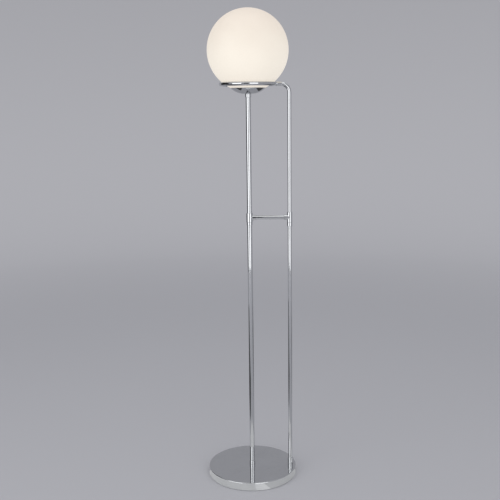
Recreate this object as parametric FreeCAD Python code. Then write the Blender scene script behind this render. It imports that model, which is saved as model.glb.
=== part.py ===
import FreeCAD, Part
import math
import os

# Globe floor lamp: a round weighted base, a main post on its centre, a thinner side post that bends
# over and meets a ring, a cross bar between two tee fittings, and an opal glass globe in a small cup.
# Millimetres, +Z up. The origin is on the floor under the main post, and the side post stands on +X.
# Screw threads are plain cylinders, apart from the bulb's, which is drawn as rings.

Vector = FreeCAD.Vector
ORIGIN = Vector(0, 0, 0)
X_AXIS = Vector(1, 0, 0)
Y_AXIS = Vector(0, 1, 0)
Z_AXIS = Vector(0, 0, 1)

# ---------------------------------------------------------------- driving dimensions
total_height = 1500.0
fit_gap = 0.05  # radial play of a tube or screw in its hole
hole_play = 0.2  # radial play of a screw in a plate or cup
glass_gap = 0.3  # play between the lift-off glass and what holds it

# posts
post_radius = 8.0
post_wall = 1.2
side_radius = 6.35
side_wall = 1.0
ferrule_wall = 1.2
foot_ferrule_height = 12.0
head_ferrule_height = 10.0
sleeve_wall = 2.0
foot_sleeve_height = 21.0
edge_chamfer = 0.6

# ring and arm
ring_radius = 84.0
arm_reach = 43.0  # from the ring's tube to the side post's axis
arm_bend_radius = 27.0
ring_vent_radius = 2.5

# base
side_to_edge = 17.0  # from the side post's axis to the base's edge
base_height = 27.0
cover_wall = 1.2
cover_edge_radius = 2.0
cover_lift = 0.8  # the cover's rim above the floor
felt_thickness = 2.5
felt_inset = 8.5
plate_thickness = 1.0
plate_play = 1.8  # between the bottom plate and the cover's wall
weight_lift = 5.3  # air between the bottom plate and the weight
weight_play = 1.3
boss_radius = 9.0
boss_circle = 95.0
boss_angles = (30.0, 150.0, 270.0)
plate_screw_radius = 2.0
plate_screw_length = 10.0
plate_head_radius = 4.0
plate_head_bevel = 0.8
plate_slot_width = 1.0
plate_slot_depth = 0.9
screw_floor_gap = 0.5
felt_hole_play = 2.0

# joint half way up
tee_height = 859.0  # the cross bar's axis
post_tee_height = 29.0
side_tee_height = 33.0
post_tee_wall = 2.4
tee_socket_wall = 1.7
tee_shoulder = 0.3  # how much wider the side tee is than its socket
tee_socket_reach = 10.0  # past the tee's upright part
tee_socket_depth = 9.5
tee_fillet = 2.5
post_collar_wall = 1.4
post_collar_height = 10.0
side_collar_height = 12.0
grub_radius = 1.5
grub_recess = 0.2
grub_key_flats = 1.5
grub_key_depth = 0.9

# screwed inner parts
plug_length = 14.0
nipple_radius = 5.0
nipple_wall = 1.5
nipple_end_play = 1.0
stud_radius = 3.0
washer_thickness = 1.5
nipple_washer_radius = 12.0
nipple_nut_flats = 14.0
nipple_nut_height = 3.0
stud_washer_radius = 8.0
stud_nut_flats = 10.0
stud_nut_height = 4.0
nut_clearance = 2.0
thread_overrun = 0.5  # thread past its nut

# globe
globe_radius = 125.0
globe_wall = 3.0
globe_mouth_radius = 42.0
globe_lip_radius = 1.2

# cup
cup_depth = 18.5
cup_wall = 1.2
cup_margin = 7.5  # from the gasket to the cup's rim
gasket_inset = 0.5  # from the globe's mouth to the gasket
gasket_width = 5.0
cup_washer_radius = 9.0
cup_washer_thickness = 1.2
cup_seat_margin = 2.0
cup_nut_height = 3.5

# lamp holder
holder_gap = 0.6
holder_neck_wall = 2.45
holder_neck_height = 4.0
holder_neck_bore_depth = 7.0
holder_cap_height = 18.0
holder_overlap = 4.0
holder_wall = 2.0
holder_shoulder_radius = 1.5
holder_rim_height = 4.95  # above the core
holder_rim_radius = 1.0
core_wall = 3.9
core_floor_thickness = 4.5
core_rim = 1.0  # above the screw shell
screw_shell_radius = 13.6
screw_shell_wall = 0.4
screw_shell_height = 24.0
screw_shell_lift = 1.0
contact_thickness = 0.5
contact_width = 5.0
contact_rise = 1.0
terminal_radius = 1.5
terminal_head_radius = 2.6
terminal_head_height = 1.8
terminal_spread = 9.0

# bulb
thread_play = 0.5
bulb_thread_depth = 0.8
bulb_thread_pitch = 3.6
bulb_thread_turns = 5
bulb_cap_height = 22.0
bulb_cap_wall = 0.3
bulb_tip_radius = 4.0
bulb_tip_height = 1.2
bulb_insulator_height = 4.0
bulb_insulator_depth = 2.0
bulb_radius = 30.0
bulb_glass_height = 81.0
bulb_glass_wall = 0.8
bulb_glass_depth = 5.4  # of the neck in the cap
bulb_neck_height = 4.0  # of the neck above the cap
bulb_flare_angle = 35.0

# inner cable and its inlet
cable_radius = 2.5
cable_floor_gap = 0.3
cable_foot_bend = 5.5
cable_bend = 20.0
cable_slope_run = 40.0
cable_end_play = 5.0
cable_top_play = 1.5
channel_play = 2.0
inlet_edge = 2.7  # from the cover's rim to the grommet's flange
grommet_bore = 3.2
grommet_neck_radius = 5.4
grommet_flange_radius = 7.5
grommet_flange_thickness = 1.5
grommet_inner_radius = 6.6
grommet_inner_thickness = 2.5
grommet_bevel = 0.8
wire_radius = 0.9
wire_gap = 0.1
wire_bend = 1.2

# ---------------------------------------------------------------- sizes that follow from them
side_offset = ring_radius + arm_reach
base_radius = side_offset + side_to_edge
cover_bore = base_radius - cover_wall
cover_underside = base_height - cover_wall
plate_bottom = felt_thickness
plate_top = plate_bottom + plate_thickness
plate_head_height = felt_thickness - screw_floor_gap
weight_bottom = plate_top + weight_lift
weight_radius = cover_bore - weight_play
felt_radius = base_radius - felt_inset

post_bore = post_radius - post_wall
side_bore = side_radius - side_wall
nipple_bore = nipple_radius - nipple_wall
stud_reach = plug_length - nipple_end_play  # of a nipple or stud into each tube

globe_height = total_height - globe_radius
ring_height = globe_height - math.sqrt((globe_radius + glass_gap + side_radius) ** 2 - ring_radius**2)
gasket_inner_radius = globe_mouth_radius + gasket_inset
gasket_outer_radius = gasket_inner_radius + gasket_width
cup_radius = gasket_outer_radius + cup_margin
cup_rim_height = globe_height - math.sqrt((globe_radius + glass_gap) ** 2 - (cup_radius - cup_wall) ** 2)
cup_seat_height = cup_rim_height - cup_depth
cup_seat_radius = cup_washer_radius + cup_seat_margin
cup_floor_height = cup_seat_height + cup_wall
cup_curve = ((cup_radius - cup_seat_radius) ** 2 + cup_depth**2) / (2 * cup_depth)
cup_inner_curve = cup_curve - cup_wall

post_tee_bottom = tee_height - post_tee_height / 2
side_tee_bottom = tee_height - side_tee_height / 2
socket_bore = side_radius + fit_gap
socket_radius = socket_bore + tee_socket_wall
post_tee_radius = post_radius + fit_gap + post_tee_wall
side_tee_radius = socket_radius + tee_shoulder

cable_low_height = plate_top + cable_floor_gap + cable_radius
nipple_bottom = cable_low_height + cable_foot_bend
nipple_nut_bottom = nipple_bottom + thread_overrun
foot_washer_bottom = nipple_nut_bottom + nipple_nut_height
clamp_face = foot_washer_bottom + washer_thickness
inlet_height = cover_lift + inlet_edge + grommet_flange_radius
grommet_seat = math.sqrt(cover_bore**2 - grommet_inner_radius**2) - fit_gap
grommet_back = grommet_seat - grommet_inner_thickness

cup_nut_bottom = cup_floor_height + cup_washer_thickness
holder_bottom = cup_nut_bottom + cup_nut_height + holder_gap
holder_neck_top = holder_bottom + holder_neck_bore_depth
holder_cap_top = holder_bottom + holder_cap_height
core_bottom = holder_cap_top + fit_gap
core_floor = core_bottom + core_floor_thickness
core_well = screw_shell_radius + screw_shell_wall + fit_gap
core_radius = core_well + core_wall
holder_skirt_bore = core_radius + fit_gap
holder_skirt_radius = holder_skirt_bore + holder_wall
contact_top = core_floor + contact_thickness + contact_rise
screw_shell_bottom = core_floor + contact_thickness + screw_shell_lift
core_top = screw_shell_bottom + screw_shell_height + core_rim
holder_top = core_top + holder_rim_height

bulb_cap_radius = screw_shell_radius - thread_play
bulb_cap_root = bulb_cap_radius - bulb_thread_depth
bulb_cap_bore = bulb_cap_root - bulb_cap_wall
bulb_bottom = contact_top + fit_gap
bulb_tip_top = bulb_bottom + bulb_tip_height
bulb_cap_bottom = bulb_tip_top + bulb_insulator_height
bulb_cap_top = bulb_cap_bottom + bulb_cap_height
bulb_glass_bottom = bulb_cap_top - bulb_glass_depth
bulb_head_centre = bulb_glass_bottom + bulb_glass_height - bulb_radius


# ---------------------------------------------------------------- shapes
def flat_point(radius, height):
    """A point of a turned profile."""
    return Vector(radius, 0, height)


def polar_point(centre_radius, centre_height, radius, angle):
    """A point on a circle of a turned profile: 0 degrees is outward and 90 is up."""
    a = math.radians(angle)
    return flat_point(centre_radius + radius * math.cos(a), centre_height + radius * math.sin(a))


def arc_edge(centre_radius, centre_height, radius, start, end):
    ends = [polar_point(centre_radius, centre_height, radius, a) for a in (start, (start + end) / 2, end)]
    return Part.Arc(*ends).toShape()


def turn(edges):
    """The solid that a closed profile in the XZ plane sweeps round the Z axis."""
    wire = Part.Wire(Part.__sortEdges__(edges))
    return Part.Face(wire).revolve(ORIGIN, Z_AXIS, 360)


def turned(points):
    """The solid turned from straight edges through (radius, height) points."""
    corners = [flat_point(*p) for p in points]
    return turn([Part.makeLine(a, b) for a, b in zip(corners, corners[1:] + corners[:1])])


def rod(radius, bottom, top, x=0.0):
    return Part.makeCylinder(radius, top - bottom, Vector(x, 0, bottom), Z_AXIS)


def tube(radius, bore, bottom, top, x=0.0):
    return rod(radius, bottom, top, x).cut(rod(bore, bottom, top, x))


def cross_rod(radius, start, end, height):
    """A rod along +X."""
    return Part.makeCylinder(radius, end - start, Vector(start, 0, height), X_AXIS)


def back_rod(radius, x, start, end, height):
    """A rod along +Y."""
    return Part.makeCylinder(radius, end - start, Vector(x, start, height), Y_AXIS)


def sleeve(radius, bore, bottom, top, x=0.0):
    """A short tube with both outer edges broken."""
    c = min(edge_chamfer, (radius - bore) / 2)
    ring = turned(
        [
            (bore, bottom),
            (radius - c, bottom),
            (radius, bottom + c),
            (radius, top - c),
            (radius - c, top),
            (bore, top),
        ]
    )
    ring.translate(Vector(x, 0, 0))
    return ring


def plug(tube_bore, screw_radius, bottom, x=0.0):
    """Threaded bush brazed into a tube's end."""
    return tube(tube_bore - fit_gap, screw_radius + fit_gap, bottom, bottom + plug_length, x)


def hex_prism(flats, bottom, height, x=0.0):
    reach = flats / math.sqrt(3)
    corners = []
    for angle in range(0, 361, 60):
        a = math.radians(angle)
        corners.append(Vector(x + reach * math.cos(a), reach * math.sin(a), bottom))
    return Part.Face(Part.makePolygon(corners)).extrude(Vector(0, 0, height))


def hex_nut(flats, bore, bottom, height, x=0.0):
    return hex_prism(flats, bottom, height, x).cut(rod(bore, bottom, bottom + height, x))


def block(x0, x1, y0, y1, z0, z1):
    return Part.makeBox(x1 - x0, y1 - y0, z1 - z0, Vector(x0, y0, z0))


def rounded_path(points, radii):
    """Straight runs through the points, joined by tangent arcs."""
    edges = []
    start = points[0]
    for before, corner, after, radius in zip(points, points[1:], points[2:], radii):
        into = (corner - before).normalize()
        away = (after - corner).normalize()
        half_turn = into.getAngle(away) / 2
        first = corner - into * (radius * math.tan(half_turn))
        last = corner + away * (radius * math.tan(half_turn))
        inward = (away - into).normalize()
        middle = corner + inward * (radius / math.cos(half_turn) - radius)
        edges.append(Part.makeLine(start, first))
        edges.append(Part.Arc(first, middle, last).toShape())
        start = last
    edges.append(Part.makeLine(start, points[-1]))
    return Part.Wire(edges)


def swept(path, radius):
    """A round bar along a path."""
    start, beyond = [vertex.Point for vertex in path.Edges[0].Vertexes]
    section = Part.Wire([Part.makeCircle(radius, start, beyond - start)])
    return path.makePipeShell([section], True, False)


# ---------------------------------------------------------------- base
def boss_places():
    for angle in boss_angles:
        a = math.radians(angle)
        yield Vector(boss_circle * math.cos(a), boss_circle * math.sin(a), 0)


def at_bosses(shape):
    """One copy of a shape at each boss."""
    return [shape.translated(place) for place in boss_places()]


def base_cover():
    """Spun steel cover: a flat top, a rounded edge, and holes for both posts and the cable's inlet."""
    edge = cover_edge_radius
    inner_edge = max(edge - cover_wall, fit_gap)
    shoulder = base_radius - edge
    inner_shoulder = cover_bore - inner_edge
    cover = turn(
        [
            Part.makeLine(flat_point(0, base_height), flat_point(shoulder, base_height)),
            arc_edge(shoulder, base_height - edge, edge, 90, 0),
            Part.makeLine(flat_point(base_radius, base_height - edge), flat_point(base_radius, cover_lift)),
            Part.makeLine(flat_point(base_radius, cover_lift), flat_point(cover_bore, cover_lift)),
            Part.makeLine(
                flat_point(cover_bore, cover_lift), flat_point(cover_bore, cover_underside - inner_edge)
            ),
            arc_edge(inner_shoulder, cover_underside - inner_edge, inner_edge, 0, 90),
            Part.makeLine(flat_point(inner_shoulder, cover_underside), flat_point(0, cover_underside)),
            Part.makeLine(flat_point(0, cover_underside), flat_point(0, base_height)),
        ]
    )
    holes = [
        rod(nipple_radius + hole_play, cover_underside, base_height),
        rod(stud_radius + hole_play, cover_underside, base_height, side_offset),
        back_rod(grommet_neck_radius + fit_gap, 0, boss_circle, base_radius, inlet_height),
    ]
    return cover.cut(holes)


def base_weight():
    """Cast iron disc with pockets for the nuts, a channel for the cable and three screw bosses."""
    weight = rod(weight_radius, weight_bottom, cover_underside)
    weight = weight.fuse(at_bosses(rod(boss_radius, plate_top, weight_bottom)))
    channel = cable_radius + channel_play
    pocket = grommet_inner_radius + channel_play
    stud_pocket = stud_washer_radius + nut_clearance
    screw_hole = rod(plate_screw_radius + fit_gap, plate_top, plate_bottom + plate_screw_length + fit_gap)
    tools = at_bosses(screw_hole) + [
        rod(nipple_washer_radius + nut_clearance, weight_bottom, clamp_face),
        rod(nipple_radius + hole_play, weight_bottom, cover_underside),
        rod(stud_pocket, weight_bottom, clamp_face, side_offset),
        rod(stud_radius + hole_play, weight_bottom, cover_underside, side_offset),
        block(-channel, channel, 0, base_radius, weight_bottom, inlet_height + channel),
        block(-pocket, pocket, grommet_back - pocket, base_radius, weight_bottom, inlet_height + pocket),
    ]
    return weight.cut(tools).removeSplitter()


def bottom_plate():
    plate = rod(cover_bore - plate_play, plate_bottom, plate_top)
    return plate.cut(at_bosses(rod(plate_screw_radius + fit_gap, plate_bottom, plate_top)))


def bottom_screws():
    """Three slotted screws, sunk in the felt's holes."""
    underside = plate_bottom - plate_head_height
    head = turned(
        [
            (0, underside),
            (plate_head_radius - plate_head_bevel, underside),
            (plate_head_radius, underside + plate_head_bevel),
            (plate_head_radius, plate_bottom),
            (0, plate_bottom),
        ]
    )
    shank = rod(plate_screw_radius, plate_bottom, plate_bottom + plate_screw_length)
    half_slot = plate_slot_width / 2
    slot = block(
        -plate_head_radius, plate_head_radius, -half_slot, half_slot, underside, underside + plate_slot_depth
    )
    return Part.makeCompound(at_bosses(head.fuse(shank).cut(slot)))


def felt_pad():
    felt = rod(felt_radius, 0, felt_thickness)
    return felt.cut(at_bosses(rod(plate_head_radius + felt_hole_play, 0, felt_thickness)))


def cable_grommet():
    """Soft bush in the cover's wall at the back, bored for the supply cord."""
    outside = base_radius + grommet_flange_thickness
    bush = turned(
        [
            (grommet_bore, grommet_back),
            (grommet_inner_radius - grommet_bevel, grommet_back),
            (grommet_inner_radius, grommet_back + grommet_bevel),
            (grommet_inner_radius, grommet_seat),
            (grommet_neck_radius, grommet_seat),
            (grommet_neck_radius, base_radius),
            (grommet_flange_radius, base_radius),
            (grommet_flange_radius, outside - grommet_bevel),
            (grommet_flange_radius - grommet_bevel, outside),
            (grommet_bore, outside),
        ]
    )
    bush.rotate(ORIGIN, X_AXIS, -90)
    return bush.translated(Vector(0, 0, inlet_height))


def base_pieces():
    return {
        "base_cover": base_cover(),
        "base_weight": base_weight(),
        "bottom_plate": bottom_plate(),
        "bottom_screws": bottom_screws(),
        "felt_pad": felt_pad(),
        "cable_grommet": cable_grommet(),
    }


# ---------------------------------------------------------------- feet of the posts
def main_foot():
    """What clamps the main post to the base: a hollow nipple, so that the cable can pass."""
    ferrule_bore = post_radius + fit_gap
    ferrule_top = base_height + foot_ferrule_height
    washer_bore = nipple_radius + hole_play
    return {
        "main_foot_plug": plug(post_bore, nipple_radius, base_height),
        "main_foot_nipple": tube(nipple_radius, nipple_bore, nipple_bottom, base_height + stud_reach),
        "main_foot_washer": tube(nipple_washer_radius, washer_bore, foot_washer_bottom, clamp_face),
        "main_foot_nut": hex_nut(
            nipple_nut_flats, nipple_radius + fit_gap, nipple_nut_bottom, nipple_nut_height
        ),
        "main_foot_ferrule": sleeve(ferrule_bore + ferrule_wall, ferrule_bore, base_height, ferrule_top),
    }


def side_foot():
    """What clamps the side post to the base: a solid stud."""
    x = side_offset
    sleeve_bore = side_radius + fit_gap
    nut_bottom = foot_washer_bottom - stud_nut_height
    washer_bore = stud_radius + hole_play
    sleeve_top = base_height + foot_sleeve_height
    return {
        "side_foot_plug": plug(side_bore, stud_radius, base_height, x),
        "side_foot_stud": rod(stud_radius, nut_bottom - thread_overrun, base_height + stud_reach, x),
        "side_foot_washer": tube(stud_washer_radius, washer_bore, foot_washer_bottom, clamp_face, x),
        "side_foot_nut": hex_nut(stud_nut_flats, stud_radius + fit_gap, nut_bottom, stud_nut_height, x),
        "side_foot_sleeve": sleeve(sleeve_bore + sleeve_wall, sleeve_bore, base_height, sleeve_top, x),
    }


# ---------------------------------------------------------------- posts and the joint half way up
def main_post():
    """Two tubes that meet inside the main tee."""
    joint = post_tee_bottom
    collar_bore = post_radius + fit_gap
    return {
        "main_post_lower": tube(post_radius, post_bore, base_height, joint),
        "main_post_upper": tube(post_radius, post_bore, joint, cup_seat_height),
        "main_joint_plug_lower": plug(post_bore, nipple_radius, joint - plug_length),
        "main_joint_plug_upper": plug(post_bore, nipple_radius, joint),
        "main_joint_nipple": tube(nipple_radius, nipple_bore, joint - stud_reach, joint + stud_reach),
        "main_joint_collar": sleeve(
            collar_bore + post_collar_wall, collar_bore, joint - post_collar_height, joint
        ),
    }


def side_post():
    """Two tubes that meet inside the side tee. The upper one bends over to the ring."""
    joint = side_tee_bottom
    x = side_offset
    return {
        "side_post_lower": tube(side_radius, side_bore, base_height, joint, x),
        "side_post_upper": side_post_upper(),
        "side_joint_plug_lower": plug(side_bore, stud_radius, joint - plug_length, x),
        "side_joint_plug_upper": plug(side_bore, stud_radius, joint, x),
        "side_joint_stud": rod(stud_radius, joint - stud_reach, joint + stud_reach, x),
        "side_joint_collar": sleeve(
            side_tee_radius, side_radius + fit_gap, joint - side_collar_height, joint, x
        ),
    }


def side_post_upper():
    """Tube that rises from the side tee, bends over and ends coped to the ring."""
    points = [
        Vector(side_offset, 0, side_tee_bottom),
        Vector(side_offset, 0, ring_height),
        Vector(ring_radius, 0, ring_height),
    ]
    path = rounded_path(points, [arm_bend_radius])
    bent = swept(path, side_radius).cut(swept(path, side_bore))
    cope = Part.makeTorus(ring_radius, side_radius + fit_gap, Vector(0, 0, ring_height), Z_AXIS)
    inside = rod(ring_radius, ring_height - side_radius, ring_height + side_radius)
    bent = bent.cut([cope, inside])
    return max(bent.Solids, key=lambda s: s.Volume)


def globe_ring():
    """Tube bent to a closed ring, with a vent under the arm's end."""
    centre = Vector(0, 0, ring_height)
    ring = Part.makeTorus(ring_radius, side_radius, centre, Z_AXIS)
    hollow = Part.makeTorus(ring_radius, side_bore, centre, Z_AXIS)
    vent = cross_rod(ring_vent_radius, ring_radius, ring_radius + 2 * side_radius, ring_height)
    return ring.cut([hollow, vent])


def is_seam(edge, radius):
    """True for the edges where a tee's socket meets its upright."""
    box = edge.BoundBox
    curved = box.ZLength > fit_gap and box.YLength > fit_gap
    return curved and fit_gap < box.XMin and box.XMax < radius + fit_gap


def is_rim(edge, radius, bottom, height, reach):
    """True for the three outer rims of a tee."""
    box = edge.BoundBox
    level = box.ZLength < fit_gap
    at_end = min(abs(box.ZMin - bottom), abs(box.ZMax - bottom - height)) < fit_gap
    at_socket = box.XLength < fit_gap and abs(box.XMax - radius - reach) < fit_gap
    upright_rim = level and at_end and box.YLength > 2 * radius - fit_gap
    return upright_rim or (at_socket and box.YLength > 2 * socket_radius - fit_gap)


def tee(radius, bore, height):
    """Cast tee on the Z axis, with a blind socket for the cross bar along +X."""
    bottom = tee_height - height / 2
    reach = tee_socket_reach
    body = rod(radius, bottom, bottom + height).fuse(cross_rod(socket_radius, 0, radius + reach, tee_height))
    fillet = min(tee_fillet, reach / 2)
    body = body.makeFillet(fillet, [e for e in body.Edges if is_seam(e, radius)])
    socket_floor = radius + reach - tee_socket_depth
    body = body.cut(
        [rod(bore, bottom, bottom + height), cross_rod(socket_bore, socket_floor, radius + reach, tee_height)]
    )
    chamfer = min(edge_chamfer, tee_socket_wall / 2)
    return body.makeChamfer(chamfer, [e for e in body.Edges if is_rim(e, radius, bottom, height, reach)])


def grub_places():
    """Each grub screw's x, the radius it bears on and the wall it is in."""
    half_socket = tee_socket_reach - tee_socket_depth / 2
    bar_bore = side_radius + fit_gap
    yield 0.0, post_radius + fit_gap, post_tee_wall
    yield post_tee_radius + half_socket, bar_bore, tee_socket_wall
    yield side_offset - side_tee_radius - half_socket, bar_bore, tee_socket_wall
    yield side_offset, bar_bore, side_tee_radius - bar_bore


def grub_screws():
    """Four headless screws at the back of the tees, with hexagon sockets."""
    screws = []
    for x, seat, wall in grub_places():
        length = wall - grub_recess
        screw = rod(grub_radius, 0, length).cut(
            hex_prism(grub_key_flats, length - grub_key_depth, grub_key_depth)
        )
        screw.rotate(ORIGIN, X_AXIS, -90)
        screws.append(screw.translated(Vector(x, seat, tee_height)))
    return Part.makeCompound(screws)


def cross_joint():
    """The two tees, the bar between them and their grub screws."""
    main_tee = tee(post_tee_radius, post_radius + fit_gap, post_tee_height)
    side_tee = tee(side_tee_radius, side_radius + fit_gap, side_tee_height)
    side_tee.rotate(ORIGIN, Z_AXIS, 180)
    side_tee.translate(Vector(side_offset, 0, 0))
    for x, seat, wall in grub_places():
        hole = back_rod(grub_radius + fit_gap, x, 0, seat + 2 * wall, tee_height)
        main_tee = main_tee.cut(hole)
        side_tee = side_tee.cut(hole)
    socket_floor = tee_socket_reach - tee_socket_depth + fit_gap
    start = post_tee_radius + socket_floor
    end = side_offset - side_tee_radius - socket_floor
    bar = cross_rod(side_radius, start, end, tee_height).cut(cross_rod(side_bore, start, end, tee_height))
    return {
        "main_tee": main_tee,
        "side_tee": side_tee,
        "cross_bar": bar,
        "tee_grub_screws": grub_screws(),
        "globe_ring": globe_ring(),
    }


# ---------------------------------------------------------------- head
def gallery_cup():
    """Shallow spun cup: a flat seat on the post and a curved wall that meets the glass."""
    hole = nipple_radius + hole_play
    seat = cup_seat_radius
    curve_height = cup_seat_height + cup_curve
    rim_drop = cup_rim_height - curve_height
    outer_angle = math.degrees(math.asin(rim_drop / cup_curve))
    inner_angle = math.degrees(math.asin(rim_drop / cup_inner_curve))
    outer_end = polar_point(seat, curve_height, cup_curve, outer_angle)
    inner_end = polar_point(seat, curve_height, cup_inner_curve, inner_angle)
    return turn(
        [
            Part.makeLine(flat_point(hole, cup_seat_height), flat_point(seat, cup_seat_height)),
            arc_edge(seat, curve_height, cup_curve, -90, outer_angle),
            Part.makeLine(outer_end, inner_end),
            arc_edge(seat, curve_height, cup_inner_curve, inner_angle, -90),
            Part.makeLine(flat_point(seat, cup_floor_height), flat_point(hole, cup_floor_height)),
            Part.makeLine(flat_point(hole, cup_floor_height), flat_point(hole, cup_seat_height)),
        ]
    )


def cup_inside_height(radius):
    """Height of the cup's inner face at a radius outside its seat."""
    run = radius - cup_seat_radius
    return cup_seat_height + cup_curve - math.sqrt(cup_inner_curve**2 - run**2)


def glass_rest_height(radius):
    """Height just under the globe's lower face at a radius."""
    return globe_height - math.sqrt((globe_radius + glass_gap) ** 2 - radius**2)


def shade_gasket():
    """Silicone ring between the cup and the glass."""
    inner, outer = gasket_inner_radius, gasket_outer_radius
    under = [(r, cup_inside_height(r) + fit_gap) for r in (inner, (inner + outer) / 2, outer)]
    return turned(under + [(outer, glass_rest_height(outer)), (inner, glass_rest_height(inner))])


def globe_shade():
    """Blown opal glass globe with a rounded mouth at the bottom."""
    outer, inner, mouth = globe_radius, globe_radius - globe_wall, globe_mouth_radius
    outer_angle = -math.degrees(math.acos(mouth / outer))
    inner_angle = -math.degrees(math.acos(mouth / inner))
    lip_bottom = polar_point(0, globe_height, outer, outer_angle)
    lip_top = polar_point(0, globe_height, inner, inner_angle)
    globe = turn(
        [
            arc_edge(0, globe_height, outer, outer_angle, 90),
            Part.makeLine(polar_point(0, globe_height, outer, 90), polar_point(0, globe_height, inner, 90)),
            arc_edge(0, globe_height, inner, 90, inner_angle),
            Part.makeLine(lip_top, lip_bottom),
        ]
    )
    lips = [e for e in globe.Edges if e.BoundBox.ZLength < fit_gap and e.BoundBox.XMax < mouth + fit_gap]
    return globe.makeFillet(min(globe_lip_radius, globe_wall * 0.4), lips)


def head_pieces():
    ferrule_bore = post_radius + fit_gap
    ferrule_bottom = cup_seat_height - head_ferrule_height
    washer_bore = nipple_radius + hole_play
    return {
        "head_plug": plug(post_bore, nipple_radius, cup_seat_height - plug_length),
        "head_nipple": tube(
            nipple_radius, nipple_bore, cup_seat_height - stud_reach, holder_neck_top - nipple_end_play
        ),
        "head_ferrule": sleeve(
            ferrule_bore + ferrule_wall, ferrule_bore, ferrule_bottom, cup_seat_height
        ),
        "gallery_cup": gallery_cup(),
        "cup_washer": tube(cup_washer_radius, washer_bore, cup_floor_height, cup_nut_bottom),
        "cup_nut": hex_nut(nipple_nut_flats, nipple_radius + fit_gap, cup_nut_bottom, cup_nut_height),
        "shade_gasket": shade_gasket(),
        "globe_shade": globe_shade(),
    }


# ---------------------------------------------------------------- lamp holder
def holder_cap():
    """Lower half of the lamp holder: a bell that screws on the nipple."""
    bore = nipple_radius + fit_gap
    neck = bore + holder_neck_wall
    round_off = holder_shoulder_radius
    bell_floor = holder_neck_top + holder_wall
    return turned(
        [
            (bore, holder_bottom),
            (neck, holder_bottom),
            (neck, holder_bottom + holder_neck_height),
            (core_radius - round_off, bell_floor),
            (core_radius, bell_floor + round_off),
            (core_radius, holder_cap_top),
            (core_radius - holder_wall, holder_cap_top),
            (core_radius - holder_wall, bell_floor + round_off),
            (bore, holder_neck_top),
        ]
    )


def holder_skirt():
    """Outer sleeve of the lamp holder: a rounded rim, and a lip that keeps the core in."""
    bottom = holder_cap_top - holder_overlap
    lip = core_radius - holder_wall
    rim = holder_rim_radius
    return turned(
        [
            (holder_skirt_bore, bottom),
            (holder_skirt_radius - rim, bottom),
            (holder_skirt_radius, bottom + rim),
            (holder_skirt_radius, holder_top - rim),
            (holder_skirt_radius - rim, holder_top),
            (lip + rim / 2, holder_top),
            (lip, holder_top - rim / 2),
            (lip, core_top + fit_gap),
            (holder_skirt_bore, core_top + fit_gap),
        ]
    )


def terminal_places():
    return (-terminal_spread, terminal_spread)


def holder_core():
    """Ceramic core: a well for the screw shell, and holes for the terminal screws."""
    core = rod(core_radius, core_bottom, core_top).cut(rod(core_well, core_floor, core_top))
    return core.cut([rod(terminal_radius + fit_gap, core_bottom, core_floor, x) for x in terminal_places()])


def holder_contact():
    """Centre contact: a leaf with a raised pad."""
    half = contact_width / 2
    leaf_top = core_floor + contact_thickness
    leaf_start = terminal_radius + fit_gap - terminal_spread
    leaf = block(leaf_start + hole_play, half, -half, half, core_floor, leaf_top)
    return leaf.fuse(rod(half, leaf_top, contact_top))


def holder_terminals():
    """Two cheese head screws under the core."""
    screws = []
    for x in terminal_places():
        head = rod(terminal_head_radius, core_bottom - terminal_head_height, core_bottom, x)
        screws.append(head.fuse(rod(terminal_radius, core_bottom, core_floor - hole_play, x)))
    return Part.makeCompound(screws)


def holder_pieces():
    shell_radius = screw_shell_radius + screw_shell_wall
    shell_top = screw_shell_bottom + screw_shell_height
    return {
        "holder_cap": holder_cap(),
        "holder_skirt": holder_skirt(),
        "holder_core": holder_core(),
        "holder_screw_shell": tube(shell_radius, screw_shell_radius, screw_shell_bottom, shell_top),
        "holder_contact": holder_contact(),
        "holder_terminals": holder_terminals(),
    }


# ---------------------------------------------------------------- bulb
def bulb_cap():
    """Threaded shell of the bulb, with its thread as rings at the real pitch."""
    crest = bulb_thread_pitch / 3
    thread_start = (bulb_cap_bottom + bulb_cap_top - bulb_thread_turns * bulb_thread_pitch) / 2
    outer = [(bulb_cap_root, bulb_cap_bottom)]
    for turn_number in range(bulb_thread_turns):
        z = thread_start + turn_number * bulb_thread_pitch
        outer.append((bulb_cap_root, z))
        outer.append((bulb_cap_radius, z + crest))
        outer.append((bulb_cap_radius, z + 2 * crest))
    outer.append((bulb_cap_root, thread_start + bulb_thread_turns * bulb_thread_pitch))
    outer.append((bulb_cap_root, bulb_cap_top))
    return turned([(bulb_cap_bore, bulb_cap_bottom)] + outer + [(bulb_cap_bore, bulb_cap_top)])


def bulb_insulator():
    """Glass cone between the cap and the tip."""
    seat = bulb_cap_bore - fit_gap
    top = bulb_cap_bottom + bulb_insulator_depth
    return turned(
        [
            (0, bulb_tip_top),
            (bulb_tip_radius, bulb_tip_top),
            (seat, bulb_cap_bottom),
            (seat, top),
            (0, top),
        ]
    )


def bulb_tip():
    narrow = bulb_tip_radius - bulb_tip_height
    corners = [(0, bulb_bottom), (narrow, bulb_bottom), (bulb_tip_radius, bulb_tip_top), (0, bulb_tip_top)]
    return turned(corners)


def bulb_glass():
    """Frosted envelope: a neck in the cap, a flare and a round head, with an even wall."""
    return bulb_body(0.0).cut(bulb_body(bulb_glass_wall))


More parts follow.
